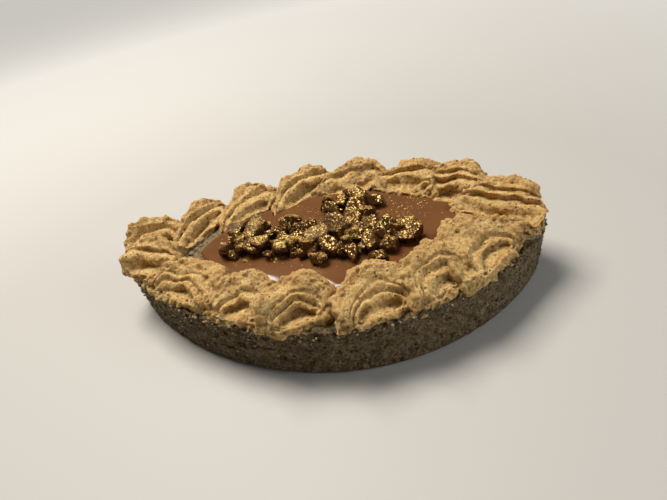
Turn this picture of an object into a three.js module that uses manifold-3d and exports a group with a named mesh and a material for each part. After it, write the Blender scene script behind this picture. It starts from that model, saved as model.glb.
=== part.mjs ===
// A boat-shaped chocolate tartlet in millimetres. Z is up, X runs along the boat and the origin is
// the middle of the flat base. A nut pastry case carries a border of piped dough swirls. Inside the
// border lies a pool of milk chocolate, and on the pool a heap of gold-dusted crunch.
import * as THREE from "three";
import { mergeVertices } from "three/addons/utils/BufferGeometryUtils.js";
import Module from "manifold-3d";

const wasm = await Module();
wasm.setup();

// Sizes of the pastry case
const HALF_LENGTH = 52.5;
const HALF_WIDTH = 31.5;
const CASE_HEIGHT = 12.8;
const FLARE = 0.5;
const FOOT_ROUNDING = 0.9;
const SIDE_POWER = 1.56; // 1 would be an ellipse, 2 a pointed leaf
const BLUNT_END = 0.11; // how much fuller the +X half is than the -X half
const TIP_SHARE = 1.2; // insets count this much more at the two tips
const WELL_INSET = 18;
const WELL_FLOOR = 6;
const OUTLINE_STEPS = 80;

// The swirls, anticlockwise from the +X tip. Each has the pitch to the next one as a share of the mean
// pitch, its turn away from square to the border, its height as a share of the usual one, its count of
// beads, the turn by which its arches lean to one side, the shear that sets one end of them further in,
// a power that flattens them where it is below 1, and the share of the swirl that its beads take up
const SWIRLS = [
  { pitch: 1.0, turn: 0.1, height: 1.0, beads: 3, tilt: -0.05, shear: 0.0, flat: 0.75, span: 0.5 },
  { pitch: 0.82, turn: 0.1, height: 1.2, beads: 3, tilt: 0.3, shear: 0.1, flat: 0.75, span: 0.5 },
  { pitch: 1.15, turn: -0.2, height: 1.03, beads: 2, tilt: 0.3, shear: 0.15, flat: 0.75, span: 0.55 },
  { pitch: 1.0, turn: -0.2, height: 0.95, beads: 2, tilt: 0.3, shear: 0.25, flat: 0.7, span: 0.55 },
  { pitch: 1.08, turn: 0.1, height: 0.9, beads: 2, tilt: 0.2, shear: 0.45, flat: 0.6, span: 0.55 },
  { pitch: 0.94, turn: 0.0, height: 0.8, beads: 2, tilt: 0.2, shear: 0.35, flat: 0.6, span: 0.55 },
  { pitch: 0.85, turn: 0.0, height: 0.8, beads: 2, tilt: 0.1, shear: 0.75, flat: 0.45, span: 0.55 },
  { pitch: 0.85, turn: 0.0, height: 1.15, beads: 2, tilt: -0.4, shear: -0.15, flat: 0.7, span: 0.55 },
  { pitch: 1.27, turn: 0.8, height: 0.92, beads: 2, tilt: -0.1, shear: 0.0, flat: 1.0, span: 0.45 },
  { pitch: 1.1, turn: -0.6, height: 0.9, beads: 2, tilt: 0.1, shear: 0.15, flat: 0.8, span: 0.45 },
  { pitch: 0.74, turn: -0.05, height: 0.87, beads: 2, tilt: 0.3, shear: 0.2, flat: 1.0, span: 0.45 },
  { pitch: 1.05, turn: 0.17, height: 0.95, beads: 3, tilt: 0.3, shear: 0.26, flat: 1.0, span: 0.36 },
  { pitch: 0.85, turn: 0.1, height: 0.94, beads: 3, tilt: 0.3, shear: 0.28, flat: 1.0, span: 0.36 },
  { pitch: 0.83, turn: 0.3, height: 1.0, beads: 2, tilt: 0.3, shear: 0.2, flat: 1.0, span: 0.45 },
  { pitch: 1.47, turn: 0.2, height: 0.97, beads: 2, tilt: 0.2, shear: 0.1, flat: 1.0, span: 0.45 },
];
const RING_INSET = 6.7;
const RING_START = 0.018; // share of the way round where the first swirl sits
const TIP_LEAN = 4.5; // how far the border leans out over the rim near the -X tip
const TIP_LEAN_TURN = 2.85; // radians round from +X where it leans out most
const BLUNT_LEAN = 1.5; // how far the border leans out at the +X tip
const SWIRL_OVERLAP = 1.3; // width of a swirl as a share of its pitch
const TAPER = 0.12; // how much narrower the far side is
const SWIRL_HALF_DEPTH = 6.9;
const NEAR_SHARE = 0.6; // share of the room in front of the hollow that a tongue of dough takes up
const SWIRL_HEIGHT = 7.4;
const TONGUE_HEIGHT = 1.5; // height of the tongue on the near side
const SIDE_FALL = 0.85; // power by which the arches fall towards their legs
const END_POWER = 0.45; // below 1 the ends of the arches lie close together
const HOLLOW_OFFSET = 4.8; // from the middle of a swirl to its hollow
const HOLLOW_HEIGHT = 1.3;
const CREST_SHARE = 0.77; // share of the way from the hollow to the foot
const FIRST_CREASE = 0.09;
const BEAD_POWER = 1.5; // above 1 the beads get thinner towards the crest
const BEAD_NOSE = 0.4; // share of a bead where it is highest
const BEAD_DEPTH = 1.5; // of the creases, more at the hollow and less at the crest
const BEAD_LEAN = 0.85; // radians by which the creases lean into the dough
const FORWARD_PULL = 0.15; // how strongly the hollows turn towards -Y
const OVERHANG = 0.3; // how far the dough stands out past the rim
const SWIRL_STEPS = 20;

// Sizes of the chocolate pool
const POOL_LEVEL = 14.6;
const POOL_INSET = 10.3;
const POOL_MARGIN = 2.6;
const POOL_SHY_TURN = 3.2; // radians round from +X where the pool stays back from the swirls
const POOL_SHY_INSET = 6.5;

// Sizes of the crunch heap, which has two mounds side by side and one behind them
const MOUNDS = [
  { x: -14, y: -0.5, halfLength: 12.5, halfWidth: 7.5, height: 2, pieces: 15 },
  { x: 7, y: -4.5, halfLength: 15.5, halfWidth: 7.5, height: 2.2, pieces: 24 },
  { x: 7, y: 9, halfLength: 7.5, halfWidth: 8.5, height: 1.9, pieces: 11 },
];
const PIECE_SIZE = 4.2;
const PIECE_SPREAD = 0.32;
const GOLDEN_TURN = Math.PI * (3 - Math.sqrt(5));

// Clearance between neighbours that are cut to each other
const GAP = 0.3;

// A repeatable uneven number between -1 and 1 for two whole numbers.
function uneven(first, second) {
  const wave = Math.sin(first * 12.9898 + second * 78.233) * 43758.5453;
  return 2 * (wave - Math.floor(wave)) - 1;
}

// The point of the boat outline at a turn round Z, moved in from the rim by an inset.
function outlinePoint(turn, inset, height) {
  const along = Math.cos(turn);
  const across = Math.sign(Math.sin(turn)) * Math.abs(Math.sin(turn)) ** SIDE_POWER;
  const x = (HALF_LENGTH - TIP_SHARE * inset) * along;
  const y = (HALF_WIDTH - inset) * across * (1 + BLUNT_END * along);
  return new THREE.Vector3(x, y, height);
}

// A ring of outline points at one height. The inset may change with the turn.
function outlineRing(insetAt, height) {
  return Array.from({ length: OUTLINE_STEPS }, (_, step) => {
    const turn = (2 * Math.PI * step) / OUTLINE_STEPS;
    return outlinePoint(turn, insetAt(turn), height);
  });
}

// A closed surface over rings of equal length. The first and the last entry are single points.
function skin(first, rings, last) {
  const steps = rings[0].length;
  const points = [first, ...rings.flat(), last];
  const end = points.length - 1;
  const corner = (row, step) => 1 + row * steps + (step % steps);
  const faces = [];
  for (let step = 0; step < steps; step += 1) {
    faces.push(0, corner(0, step + 1), corner(0, step));
    for (let row = 0; row + 1 < rings.length; row += 1) {
      faces.push(corner(row, step), corner(row, step + 1), corner(row + 1, step + 1));
      faces.push(corner(row, step), corner(row + 1, step + 1), corner(row + 1, step));
    }
    faces.push(end, corner(rings.length - 1, step), corner(rings.length - 1, step + 1));
  }
  const geometry = new THREE.BufferGeometry().setFromPoints(points);
  geometry.setIndex(faces);
  return geometry;
}

// A geometry as a solid for cutting and joining.
function solidOf(geometry) {
  const bare = geometry.clone();
  bare.deleteAttribute("normal");
  bare.deleteAttribute("uv");
  const merged = mergeVertices(bare, 1e-3);
  const vertProperties = new Float32Array(merged.getAttribute("position").array);
  const triVerts = new Uint32Array(merged.index.array);
  return new wasm.Manifold(new wasm.Mesh({ numProp: 3, vertProperties, triVerts }));
}

// The largest body of a solid, with edges too short to see taken out.
function mainBody(solid) {
  const bodies = solid.simplify(0.03).decompose();
  return bodies.reduce((best, body) => (body.volume() > best.volume() ? body : best));
}

// A solid as a geometry with flat-shaded faces.
function geometryOf(solid) {
  const mesh = solid.getMesh();
  const geometry = new THREE.BufferGeometry();
  geometry.setAttribute("position", new THREE.BufferAttribute(mesh.vertProperties, 3));
  geometry.setIndex(new THREE.BufferAttribute(mesh.triVerts, 1));
  return geometry;
}

// The case is a solid boat with a rounded foot and a well in its top.
function caseGeometry() {
  const rings = [
    outlineRing(() => FLARE + FOOT_ROUNDING, 0),
    outlineRing(() => FLARE + 0.3 * FOOT_ROUNDING, 0.3 * FOOT_ROUNDING),
    outlineRing(() => FLARE, FOOT_ROUNDING),
    outlineRing(() => 0, CASE_HEIGHT),
    outlineRing(() => WELL_INSET - 1, CASE_HEIGHT),
    outlineRing(() => WELL_INSET, WELL_FLOOR),
  ];
  return skin(new THREE.Vector3(0, 0, 0), rings, new THREE.Vector3(0, 0, WELL_FLOOR));
}

// The middle line of the swirl border, which leans out at the two tips.
function ringInset(turn) {
  const sharpTip = TIP_LEAN * Math.max(0, Math.cos(turn - TIP_LEAN_TURN)) ** 12;
  const bluntTip = BLUNT_LEAN * Math.max(0, Math.cos(turn)) ** 12;
  return RING_INSET - sharpTip - bluntTip;
}
const ring = new THREE.CatmullRomCurve3(outlineRing(ringInset, CASE_HEIGHT), true);
const pitchSum = SWIRLS.reduce((sum, swirl) => sum + swirl.pitch, 0);

// Where a swirl sits, which way its far side lies, and its own sizes. The tongue in front of the hollow is
// large where the hollow faces out of the boat and small where it faces in.
function swirlPlace(swirl, index) {
  const before = SWIRLS.slice(0, index).reduce((sum, each) => sum + each.pitch, 0);
  const share = RING_START + before / pitchSum;
  const tangent = ring.getTangentAt(share);
  const outward = new THREE.Vector2(tangent.y, -tangent.x);
  const side = THREE.MathUtils.clamp(-2 * outward.y, -1, 1);
  const opening = outward.multiplyScalar(side).add(new THREE.Vector2(0, -FORWARD_PULL));
  const meanPitch = 0.5 * (swirl.pitch + SWIRLS.at(index - 1).pitch);
  return {
    middle: ring.getPointAt(share),
    farTurn: Math.atan2(-opening.y, -opening.x) + swirl.turn,
    halfWidth: (0.5 * SWIRL_OVERLAP * meanPitch * ring.getLength()) / pitchSum,
    height: SWIRL_HEIGHT * swirl.height,
    beads: swirl.beads,
    tilt: swirl.tilt,
    shear: swirl.shear,
    flat: swirl.flat,
    span: swirl.span,
    tongue: 0.6 + 0.4 * side,
  };
}

// A plan point, drawn in to the rim where it lies further out than the dough may stand. The dough
// stands out further at the -X tip and stays back from the +X tip.
function insideRim(x, y) {
  const { clamp, smoothstep } = THREE.MathUtils;
  const drawnX = clamp(x, -HALF_LENGTH - 4 * OVERHANG, HALF_LENGTH - 4 * OVERHANG);
  const along = clamp(drawnX / HALF_LENGTH, -1, 1);
  const rim = HALF_WIDTH * (1 - along ** 2) ** (0.5 * SIDE_POWER) * (1 + BLUNT_END * along);
  const limit = rim + OVERHANG * (1 + 5 * smoothstep(-along, 0.85, 1));
  return [drawnX, clamp(y, -limit, limit)];
}

// Height of the beads between 0 in a crease and 1 on a nose: half circles, steeper in front. After the
// last nose the height stays at 1.
function beadWave(phase, beads) {
  if (phase >= beads - 1 + BEAD_NOSE) return 1;
  const part = Math.max(0, phase) % 1;
  const bent = part ** 0.75;
  return Math.sqrt(4 * bent * (1 - bent));
}

// A point of a swirl. In plan the shares from hollow to foot are half ovals, deep on the far side and
// shallow on the near side, whose ends lie close together. A power flattens the arches, and a shear sets
// one end further in. The surface climbs from the hollow at the near edge to a crest and falls to the
// foot. Creases lean into the dough, so each arch overhangs the one in front of it.
function swirlPoint(place, share, turn, grow) {
  const { clamp, smoothstep } = THREE.MathUtils;
  const farness = 0.5 + 0.5 * Math.cos(turn + place.tilt);
  const shut = smoothstep(Math.cos(turn), -0.6, 0.2);
  const low = place.tongue * TONGUE_HEIGHT;
  const crest = low + (place.height - low) * farness ** SIDE_FALL * shut;
  const hollow = Math.min(HOLLOW_HEIGHT, crest);
  const slope = hollow + (crest - hollow) * Math.sin((0.5 * Math.PI * share) / CREST_SHARE);
  const flank = crest * Math.sqrt(1 - 0.92 * ((share - CREST_SHARE) / (1 - CREST_SHARE)) ** 2);
  const height = share < CREST_SHARE ? slope : flank;
  const phase = place.beads * Math.max(0, (share - FIRST_CREASE) / place.span) ** BEAD_POWER;
  const fade = smoothstep(farness, 0.03, 0.3) * smoothstep(share, 0, FIRST_CREASE) * shut;
  const deepness = BEAD_DEPTH * (1.3 - 0.9 * clamp(phase / (place.beads - 1), 0, 1));
  const push = deepness * (1 - beadWave(phase, place.beads)) * fade;
  const back = push * Math.sin(BEAD_LEAN);
  const outgrow = grow * smoothstep(share, CREST_SHARE, 1);
  const near = place.tongue * NEAR_SHARE * (SWIRL_HALF_DEPTH - HOLLOW_OFFSET);
  const depth = Math.cos(turn) > 0 ? SWIRL_HALF_DEPTH + HOLLOW_OFFSET : near;
  const arch = Math.sign(Math.cos(turn)) * Math.abs(Math.cos(turn)) ** place.flat;
  const width = place.halfWidth * (1 - TAPER * smoothstep(Math.cos(turn), 0, 1));
  const across = (share ** END_POWER * width + 0.5 * back + outgrow) * Math.sin(turn);
  const along = (share * depth + back + outgrow) * arch - HOLLOW_OFFSET - place.shear * across;
  const [x, y] = insideRim(
    place.middle.x + along * Math.cos(place.farTurn) - across * Math.sin(place.farTurn),
    place.middle.y + along * Math.sin(place.farTurn) + across * Math.cos(place.farTurn),
  );
  return new THREE.Vector3(x, y, CASE_HEIGHT + height + grow - push * Math.cos(BEAD_LEAN));
}

// One swirl as a solid on the rim of the case, or grown all round.
function swirlSolid(place, grow) {
  const turns = Array.from({ length: SWIRL_STEPS }, (_, step) => (2 * Math.PI * step) / SWIRL_STEPS);
  const beads = Array.from({ length: place.beads }, (_, bead) => [bead, bead + BEAD_NOSE, bead + 0.8]);
  const phases = beads.flat().slice(0, -1);
  const shareAt = (phase) => FIRST_CREASE + place.span * (phase / place.beads) ** (1 / BEAD_POWER);
  const shares = phases.map(shareAt);
  const rings = [...shares, CREST_SHARE, 0.9, 0.97, 1].map((share) =>
    turns.map((turn) => swirlPoint(place, share, turn, grow)),
  );
  const hollow = swirlPoint(place, 0, 0, grow);
  const foot = turns.map((turn) => swirlPoint(place, 1, turn, grow).lerp(place.middle, 0.05));
  foot.forEach((point) => point.setZ(CASE_HEIGHT - grow));
  const under = new THREE.Vector3(hollow.x, hollow.y, CASE_HEIGHT - grow);
  return solidOf(skin(under, [foot, ...rings.reverse()], hollow));
}

// How far in from the rim the pool ends: it stays back from the swirls at one turn.
function poolInset(turn) {
  return POOL_INSET + POOL_SHY_INSET * Math.max(0, Math.cos(turn - POOL_SHY_TURN)) ** 2;
}

// The pool fills the well and lies over the floor inside the swirls, with a rounded margin.
function poolSolid() {
  const depth = POOL_LEVEL - CASE_HEIGHT;
  const rings = [
    outlineRing(() => WELL_INSET + GAP, WELL_FLOOR),
    outlineRing(() => WELL_INSET - 1 + GAP, CASE_HEIGHT),
    outlineRing((turn) => poolInset(turn) + 0.2, CASE_HEIGHT),
    outlineRing((turn) => poolInset(turn), CASE_HEIGHT + 0.35 * depth),
    outlineRing((turn) => poolInset(turn) + 0.35 * POOL_MARGIN, CASE_HEIGHT + 0.8 * depth),
    outlineRing((turn) => poolInset(turn) + POOL_MARGIN, POOL_LEVEL),
  ];
  return solidOf(skin(new THREE.Vector3(0, 0, WELL_FLOOR), rings, new THREE.Vector3(0, 0, POOL_LEVEL)));
}

// One piece of crunch: a lump of twenty faces with its corners pushed in and out.
function pieceSolid(number, x, y, z) {
  const ball = new THREE.IcosahedronGeometry(1, 0);
  const lump = mergeVertices(ball.deleteAttribute("normal").deleteAttribute("uv"));
  const corners = lump.getAttribute("position");
  const corner = new THREE.Vector3();
  for (let each = 0; each < corners.count; each += 1) {
    corner.fromBufferAttribute(corners, each).multiplyScalar(1 + 0.22 * uneven(number, each + 20));
    corners.setXYZ(each, corner.x, corner.y, corner.z);
  }
  const size = 0.5 * PIECE_SIZE * (1 + PIECE_SPREAD * uneven(number, 4));
  lump.scale(size * 1.15, size, size * 0.8);
  lump.rotateX(0.6 * uneven(number, 5));
  lump.rotateZ(Math.PI * uneven(number, 6));
  lump.translate(x, y, z);
  return solidOf(lump);
}

// A low mound with crunch pieces spread over it by the golden angle.
function moundSolid(mound, firstNumber) {
  const dome = new THREE.SphereGeometry(1, 16, 8);
  dome.rotateX(0.5 * Math.PI);
  dome.scale(0.9 * mound.halfLength, 0.9 * mound.halfWidth, mound.height);
  dome.translate(mound.x, mound.y, POOL_LEVEL);
  let solid = solidOf(dome);
  for (let each = 0; each < mound.pieces; each += 1) {
    const number = firstNumber + each;
    const reach = Math.sqrt((each + 0.5) / mound.pieces) + 0.06 * uneven(number, 7);
    const turn = GOLDEN_TURN * each + 0.3 * uneven(number, 8);
    const x = mound.x + mound.halfLength * reach * Math.cos(turn);
    const y = mound.y + mound.halfWidth * reach * Math.sin(turn);
    const rise = mound.height * Math.sqrt(Math.max(0, 1 - reach ** 2));
    solid = solid.add(pieceSolid(number, x, y, POOL_LEVEL + rise + 0.22 * PIECE_SIZE));
  }
  return solid;
}

// Everything below a height, for cutting a heap flat underneath.
function slabBelow(height) {
  const slab = new THREE.BoxGeometry(4 * HALF_LENGTH, 4 * HALF_WIDTH, 2 * CASE_HEIGHT);
  slab.translate(0, 0, height - CASE_HEIGHT);
  return solidOf(slab);
}

const places = SWIRLS.map(swirlPlace);
const fullSwirls = places.map((place) => swirlSolid(place, 0));
const roundSwirls = places.map((place) => swirlSolid(place, GAP).hull());

// A solid that makes way for the swirls from one number on.
function cutBySwirls(solid, from) {
  return roundSwirls.slice(from).reduce((left, swirl) => left.subtract(swirl), solid);
}

const pastry = new THREE.MeshStandardMaterial({ color: 0x85684a, roughness: 0.9, metalness: 0 });
const dough = new THREE.MeshStandardMaterial({ color: 0xb48c5c, roughness: 0.85, metalness: 0 });
const chocolate = new THREE.MeshStandardMaterial({ color: 0x6b3b25, roughness: 0.25, metalness: 0 });
const crunch = new THREE.MeshStandardMaterial({ color: 0xa07a3a, roughness: 0.45, metalness: 0.6 });

const group = new THREE.Group();
group.name = "tartlet";

// Adds one named mesh to the tartlet.
function addPart(name, geometry, material) {
  const mesh = new THREE.Mesh(geometry, material.clone());
  mesh.name = name;
  group.add(mesh);
}

addPart("pastry_case", caseGeometry(), pastry);

// Each swirl makes way for the ones piped after it
fullSwirls.forEach((swirl, index) => {
  const left = mainBody(cutBySwirls(swirl, index + 1));
  addPart(`swirl_${String(index + 1).padStart(2, "0")}`, geometryOf(left), dough);
});

addPart("chocolate", geometryOf(mainBody(cutBySwirls(poolSolid(), 0))), chocolate);

const mounds = MOUNDS.map((mound, index) => moundSolid(mound, 100 * index));
const heap = mounds.reduce((both, mound) => both.add(mound)).subtract(slabBelow(POOL_LEVEL + GAP));
addPart("crunch_heap", geometryOf(mainBody(cutBySwirls(heap, 0))), crunch);

export default group;
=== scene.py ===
from types import SimpleNamespace

import bpy
import numpy as np
from mathutils import Matrix, Vector


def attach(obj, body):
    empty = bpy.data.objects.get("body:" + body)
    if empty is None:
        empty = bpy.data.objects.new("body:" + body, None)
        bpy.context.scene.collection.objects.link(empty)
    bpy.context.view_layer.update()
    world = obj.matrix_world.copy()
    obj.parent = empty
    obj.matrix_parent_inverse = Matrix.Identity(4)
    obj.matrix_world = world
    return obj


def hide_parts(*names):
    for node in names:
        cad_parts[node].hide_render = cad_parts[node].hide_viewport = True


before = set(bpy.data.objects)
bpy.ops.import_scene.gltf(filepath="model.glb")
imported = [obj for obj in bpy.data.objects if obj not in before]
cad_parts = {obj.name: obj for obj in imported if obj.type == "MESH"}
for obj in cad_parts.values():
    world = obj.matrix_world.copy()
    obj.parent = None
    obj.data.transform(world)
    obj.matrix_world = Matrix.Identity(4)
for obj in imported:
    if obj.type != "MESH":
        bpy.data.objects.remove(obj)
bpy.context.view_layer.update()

bl_info = {
    "name": "Boat-shaped chocolate tartlet",
    "version": (1, 0, 0),
    "blender": (4, 5, 0),
    "location": "View3D > Sidebar > Tartlet",
    "description": "Builds a baked tartlet with piped swirls, milk chocolate and gold-dusted crunch",
    "category": "Add Mesh",
}

MM = 0.001
TURN = 2 * np.pi
GOLDEN_TURN = np.pi * (3 - np.sqrt(5))

# Points of the ring that the swirls sit on, and rows and columns of the grids
RING_POINTS = 4001
CASE_COLUMNS = 940
FOOT_ROWS = 8
WALL_ROWS = 56
RIM_ROWS = 40
SWIRL_COLUMNS = 192
SWIRL_ROWS = 122
DRIP_ROWS = 10
POOL_COLUMNS = 420
POOL_MARGIN_ROWS = 26
POOL_ROWS = 34
CORE_COLUMNS = 48
CORE_ROWS = 20


# Property helpers

def size(name, description, millimetres):
    """A length, given in millimetres and kept in metres."""
    return bpy.props.FloatProperty(
        name=name, description=description, default=millimetres * MM, subtype="DISTANCE", unit="LENGTH",
        precision=5)


def share(name, description, value):
    """A plain number such as a share, a power or a count of steps."""
    return bpy.props.FloatProperty(name=name, description=description, default=value, precision=4)


def turn(name, description, radians):
    """An angle in radians."""
    return bpy.props.FloatProperty(
        name=name, description=description, default=radians, subtype="ANGLE", unit="ROTATION")


def colour(name, description, red, green, blue):
    """A linear colour."""
    return bpy.props.FloatVectorProperty(
        name=name, description=description, default=(red, green, blue), subtype="COLOR", size=3, min=0,
        max=1)


class TartletCase(bpy.types.PropertyGroup):
    """Sizes and colours of the pastry case."""
    half_length: size("Half length", "From the middle to a tip of the rim", 52.5)
    half_width: size("Half width", "From the middle to the side of the rim", 31.5)
    height: size("Height", "Height of the wall", 12.8)
    flare: size("Flare", "How far the rim stands out past the foot", 0.5)
    foot_rounding: size("Foot rounding", "Size of the round at the foot", 0.9)
    side_power: share("Side power", "1 is an ellipse and 2 a pointed leaf", 1.56)
    blunt_end: share("Blunt end", "How much fuller the +X half is", 0.11)
    tip_share: share("Tip share", "How much more an inset counts at the tips", 1.2)
    well_inset: size("Well inset", "From the rim to the well", 18)
    well_floor: size("Well floor", "Height of the floor of the well", 6)
    crumb: size("Crumb", "Depth of the crumb in the wall", 0.32)
    colour: colour("Pastry", "Baked nut pastry", 0.128, 0.09, 0.042)
    pore_colour: colour("Pores", "Pores and nut skins", 0.04, 0.023, 0.01)
    pale_colour: colour("Pale pastry", "Paler patches of the pastry", 0.27, 0.195, 0.11)
    crumb_colour: colour("Crumbs", "Small pale crumbs in the pastry", 0.36, 0.28, 0.16)


class TartletSwirls(bpy.types.PropertyGroup):
    """Sizes and colours of the piped border."""
    ring_inset: size("Ring inset", "From the rim to the middle of the border", 6.7)
    ring_start: share("Ring start", "Share of the way round where the first swirl sits", 0.018)
    tip_lean: size("Tip lean", "How far the border leans out near the -X tip", 4.5)
    tip_lean_turn: turn("Tip lean turn", "Where the border leans out most", 2.85)
    blunt_lean: size("Blunt lean", "How far the border leans out at the +X tip", 1.5)
    overlap: share("Overlap", "Width of a swirl as a share of its pitch", 1.3)
    half_depth: size("Half depth", "Half of a swirl across the border", 6.9)
    near_share: share("Near side", "Share of the room before the hollow that the dough fills", 0.6)
    height: size("Height", "Height of the far side", 7.4)
    open_height: size("Open height", "Height of the tongue of dough on the near side", 1.5)
    side_fall: share("Side fall", "How fast the arches fall towards their legs", 0.85)
    hollow_offset: size("Hollow offset", "From the middle of a swirl to its hollow", 4.8)
    end_power: share("End power", "Below 1 the ends of the arches lie close together", 0.45)
    hollow_height: size("Hollow height", "Height of the hollow", 1.3)
    crest_share: share("Crest share", "Where the crest lies between hollow and foot", 0.77)
    bead_power: share("Bead power", "Above 1 the beads get thinner towards the crest", 1.5)
    first_crease: share("First crease", "Where the first crease lies", 0.09)
    bead_depth: size("Bead depth", "Depth of the creases", 1.5)
    bead_lean: turn("Bead lean", "How far the creases lean into the dough", 1.1)
    spiral: share("Spiral", "Shift of the beads over one turn", 0.1)
    forward_pull: share("Forward pull", "How strongly the hollows turn towards -Y", 0.15)
    overhang: size("Overhang", "How far the dough may stand out past the rim", 0.3)
    taper: share("Taper", "How much narrower the far end of a swirl is", 0.12)
    slump: share("Slump", "How much the dough sinks where the rim draws it in", 0.6)
    droop: size("Droop", "How far the dough hangs over the rim", 0.5)
    colour: colour("Dough", "Golden baked dough", 0.52, 0.332, 0.108)
    pale_colour: colour("Pale dough", "Dough that browned least", 0.7, 0.5, 0.215)
    # This colour is real browning on the domes and in the grain, and also painted shade in the creases and
    # on the near side of the swirls
    toast_and_shade_colour: colour("Toast", "Browned tops", 0.31, 0.16, 0.046)
    nut_colour: colour("Nut", "Reddish brown bits of nut in the dough", 0.27, 0.11, 0.035)
    speck_colour: colour("Specks", "Nut specks", 0.12, 0.055, 0.02)


class TartletPool(bpy.types.PropertyGroup):
    """Sizes and colours of the chocolate pool."""
    level: size("Level", "Height of the chocolate", 14.6)
    inset: size("Inset", "From the rim to the edge of the pool", 10.3)
    margin: size("Margin", "Width of the rounded margin", 2.6)
    shy_turn: turn("Shy turn", "Where the pool stays back from the swirls", 3.2)
    shy_inset: size("Shy inset", "How far it stays back there", 6.5)
    colour: colour("Chocolate", "Milk chocolate", 0.143, 0.058, 0.0185)


class TartletCrunch(bpy.types.PropertyGroup):
    """Sizes and colours of the crunch heap."""
    piece_size: size("Piece size", "Mean size of a crunch chip", 4.4)
    piece_spread: share("Piece spread", "How uneven the sizes are", 0.32)
    dust_size: size("Dust size", "Size of a grain of gold dust", 0.27)
    colour: colour("Crunch", "Dark brown crunch", 0.062, 0.022, 0.006)
    gold_colour: colour("Gold", "Gold dust", 0.33, 0.188, 0.04)
    pale_gold_colour: colour("Pale gold", "Pale grains of gold dust", 0.78, 0.55, 0.21)


class TartletStage(bpy.types.PropertyGroup):
    """Camera, floor and sky."""
    camera_place: bpy.props.FloatVectorProperty(
        name="Camera place", description="Where the camera stands", subtype="XYZ", unit="LENGTH",
        default=(0.02002, -0.09657, 0.08016))
    camera_target: bpy.props.FloatVectorProperty(
        name="Camera target", description="What the camera looks at", subtype="XYZ", unit="LENGTH",
        default=(0.00171, 0.00098, 0.00894))
    camera_roll: turn("Camera roll", "Turn of the camera about its view", -0.2147)
    camera_lens: bpy.props.FloatProperty(
        name="Lens", description="Focal length", default=25.91, unit="CAMERA")
    floor_colour: colour("Floor", "Pale floor", 0.46, 0.445, 0.415)
    sky_light: share("Sky light", "How strongly the sky lights the tartlet", 0.1)
    sky_seen: share("Sky seen", "How bright the sky looks behind the floor", 0.6)


# Tables of pieces

# The swirls, anticlockwise from the +X tip: pitch to the next one as a share of the mean pitch, turn away
# from square to the border, height as a share of the usual one, count of beads, turn by which the arches
# lean to one side, shear of the arches, power that flattens them, share that the beads take up, size of
# the tongue in front of the hollow, share by which the arches run straight across like shelves, and
# depth of the far side as a share of the usual one
SHAPE_COLUMNS = (
    "pitch", "turn", "rise", "beads", "tilt", "shear", "flat", "span", "tongue", "straight", "reach")
SWIRL_SHAPES = [
    (1.0, 0.3, 1.0, 3, -0.05, 0.0, 0.5, 0.5, 2.0, 0.8, 1.0),
    (0.82, -0.2, 1.2, 3, 0.3, 0.1, 0.45, 0.5, 1.5, 0.8, 1.0),
    (1.15, -0.2, 1.03, 2, 0.3, 0.15, 0.45, 0.55, 1.5, 0.85, 1.0),
    (1.0, -0.2, 0.95, 2, 0.3, 0.25, 0.5, 0.55, 0.8, 0.7, 1.0),
    (1.08, 0.1, 0.9, 2, 0.2, 0.45, 0.6, 0.55, 0.2, 0.5, 1.0),
    (0.94, 0.0, 0.8, 2, 0.2, 0.35, 0.6, 0.55, 0.2, 0.5, 1.0),
    (0.85, 0.0, 0.8, 2, 0.1, 0.75, 0.45, 0.55, 0.2, 0.5, 1.0),
    (0.85, 0.0, 1.15, 2, -0.4, -0.15, 0.7, 0.55, 0.3, 0.3, 1.0),
    (1.27, 0.6, 0.92, 2, -0.1, -0.15, 0.8, 0.5, 1.3, 0.8, 1.0),
    (1.1, -0.4, 0.9, 3, 0.1, 0.4, 0.9, 0.55, 1.0, 0, 1.0),
    (0.74, -0.05, 0.87, 2, 0.0, 0.03, 0.8, 0.5, 1.0, 0, 1.0),
    (1.05, 0.17, 0.95, 3, 0.1, 0.18, 0.9, 0.4, 1.0, 0, 1.0),
    (0.85, 0.1, 0.94, 3, 0.0, 0.15, 0.8, 0.4, 1.0, 0, 1.0),
    (0.83, 0.1, 1.0, 3, 0.1, 0.1, 0.7, 0.52, 1.0, 0, 1.0),
    (1.47, 0.28, 0.97, 2, 0.3, -0.02, 0.75, 0.37, 1.2, 0, 1.25),
]

# The mounds of the crunch heap in millimetres, and how many large pieces lie on each
MOUNDS = [
    {"x": -14, "y": -0.5, "half_length": 12.5, "half_width": 7.5, "height": 2.0, "pieces": 15},
    {"x": 7, "y": -4.5, "half_length": 15.5, "half_width": 7.5, "height": 2.2, "pieces": 24},
    {"x": 7, "y": 9, "half_length": 7.5, "half_width": 8.5, "height": 1.9, "pieces": 11},
]

# The layers of crunch: chips for each piece of a mound, size as a share of the mean one, and the rows and
# columns of a chip
CRUNCH_LAYERS = [
    {"times": 1, "mean": 1.0, "rows": 16, "columns": 26},
    {"times": 1, "mean": 0.6, "rows": 12, "columns": 20},
    {"times": 2, "mean": 0.34, "rows": 8, "columns": 12},
]

# The clouds of gold flecks in millimetres: middle, spread and count
FLECK_CLOUDS = [
    ((21.5, 8.5), (4.2, 4.0), 170),
    ((-1.0, 8.0), (4.5, 4.0), 150),
    ((-22.0, 4.0), (4.5, 4.0), 90),
    ((2.0, -7.0), (13.0, 4.0), 200),
]

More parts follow.
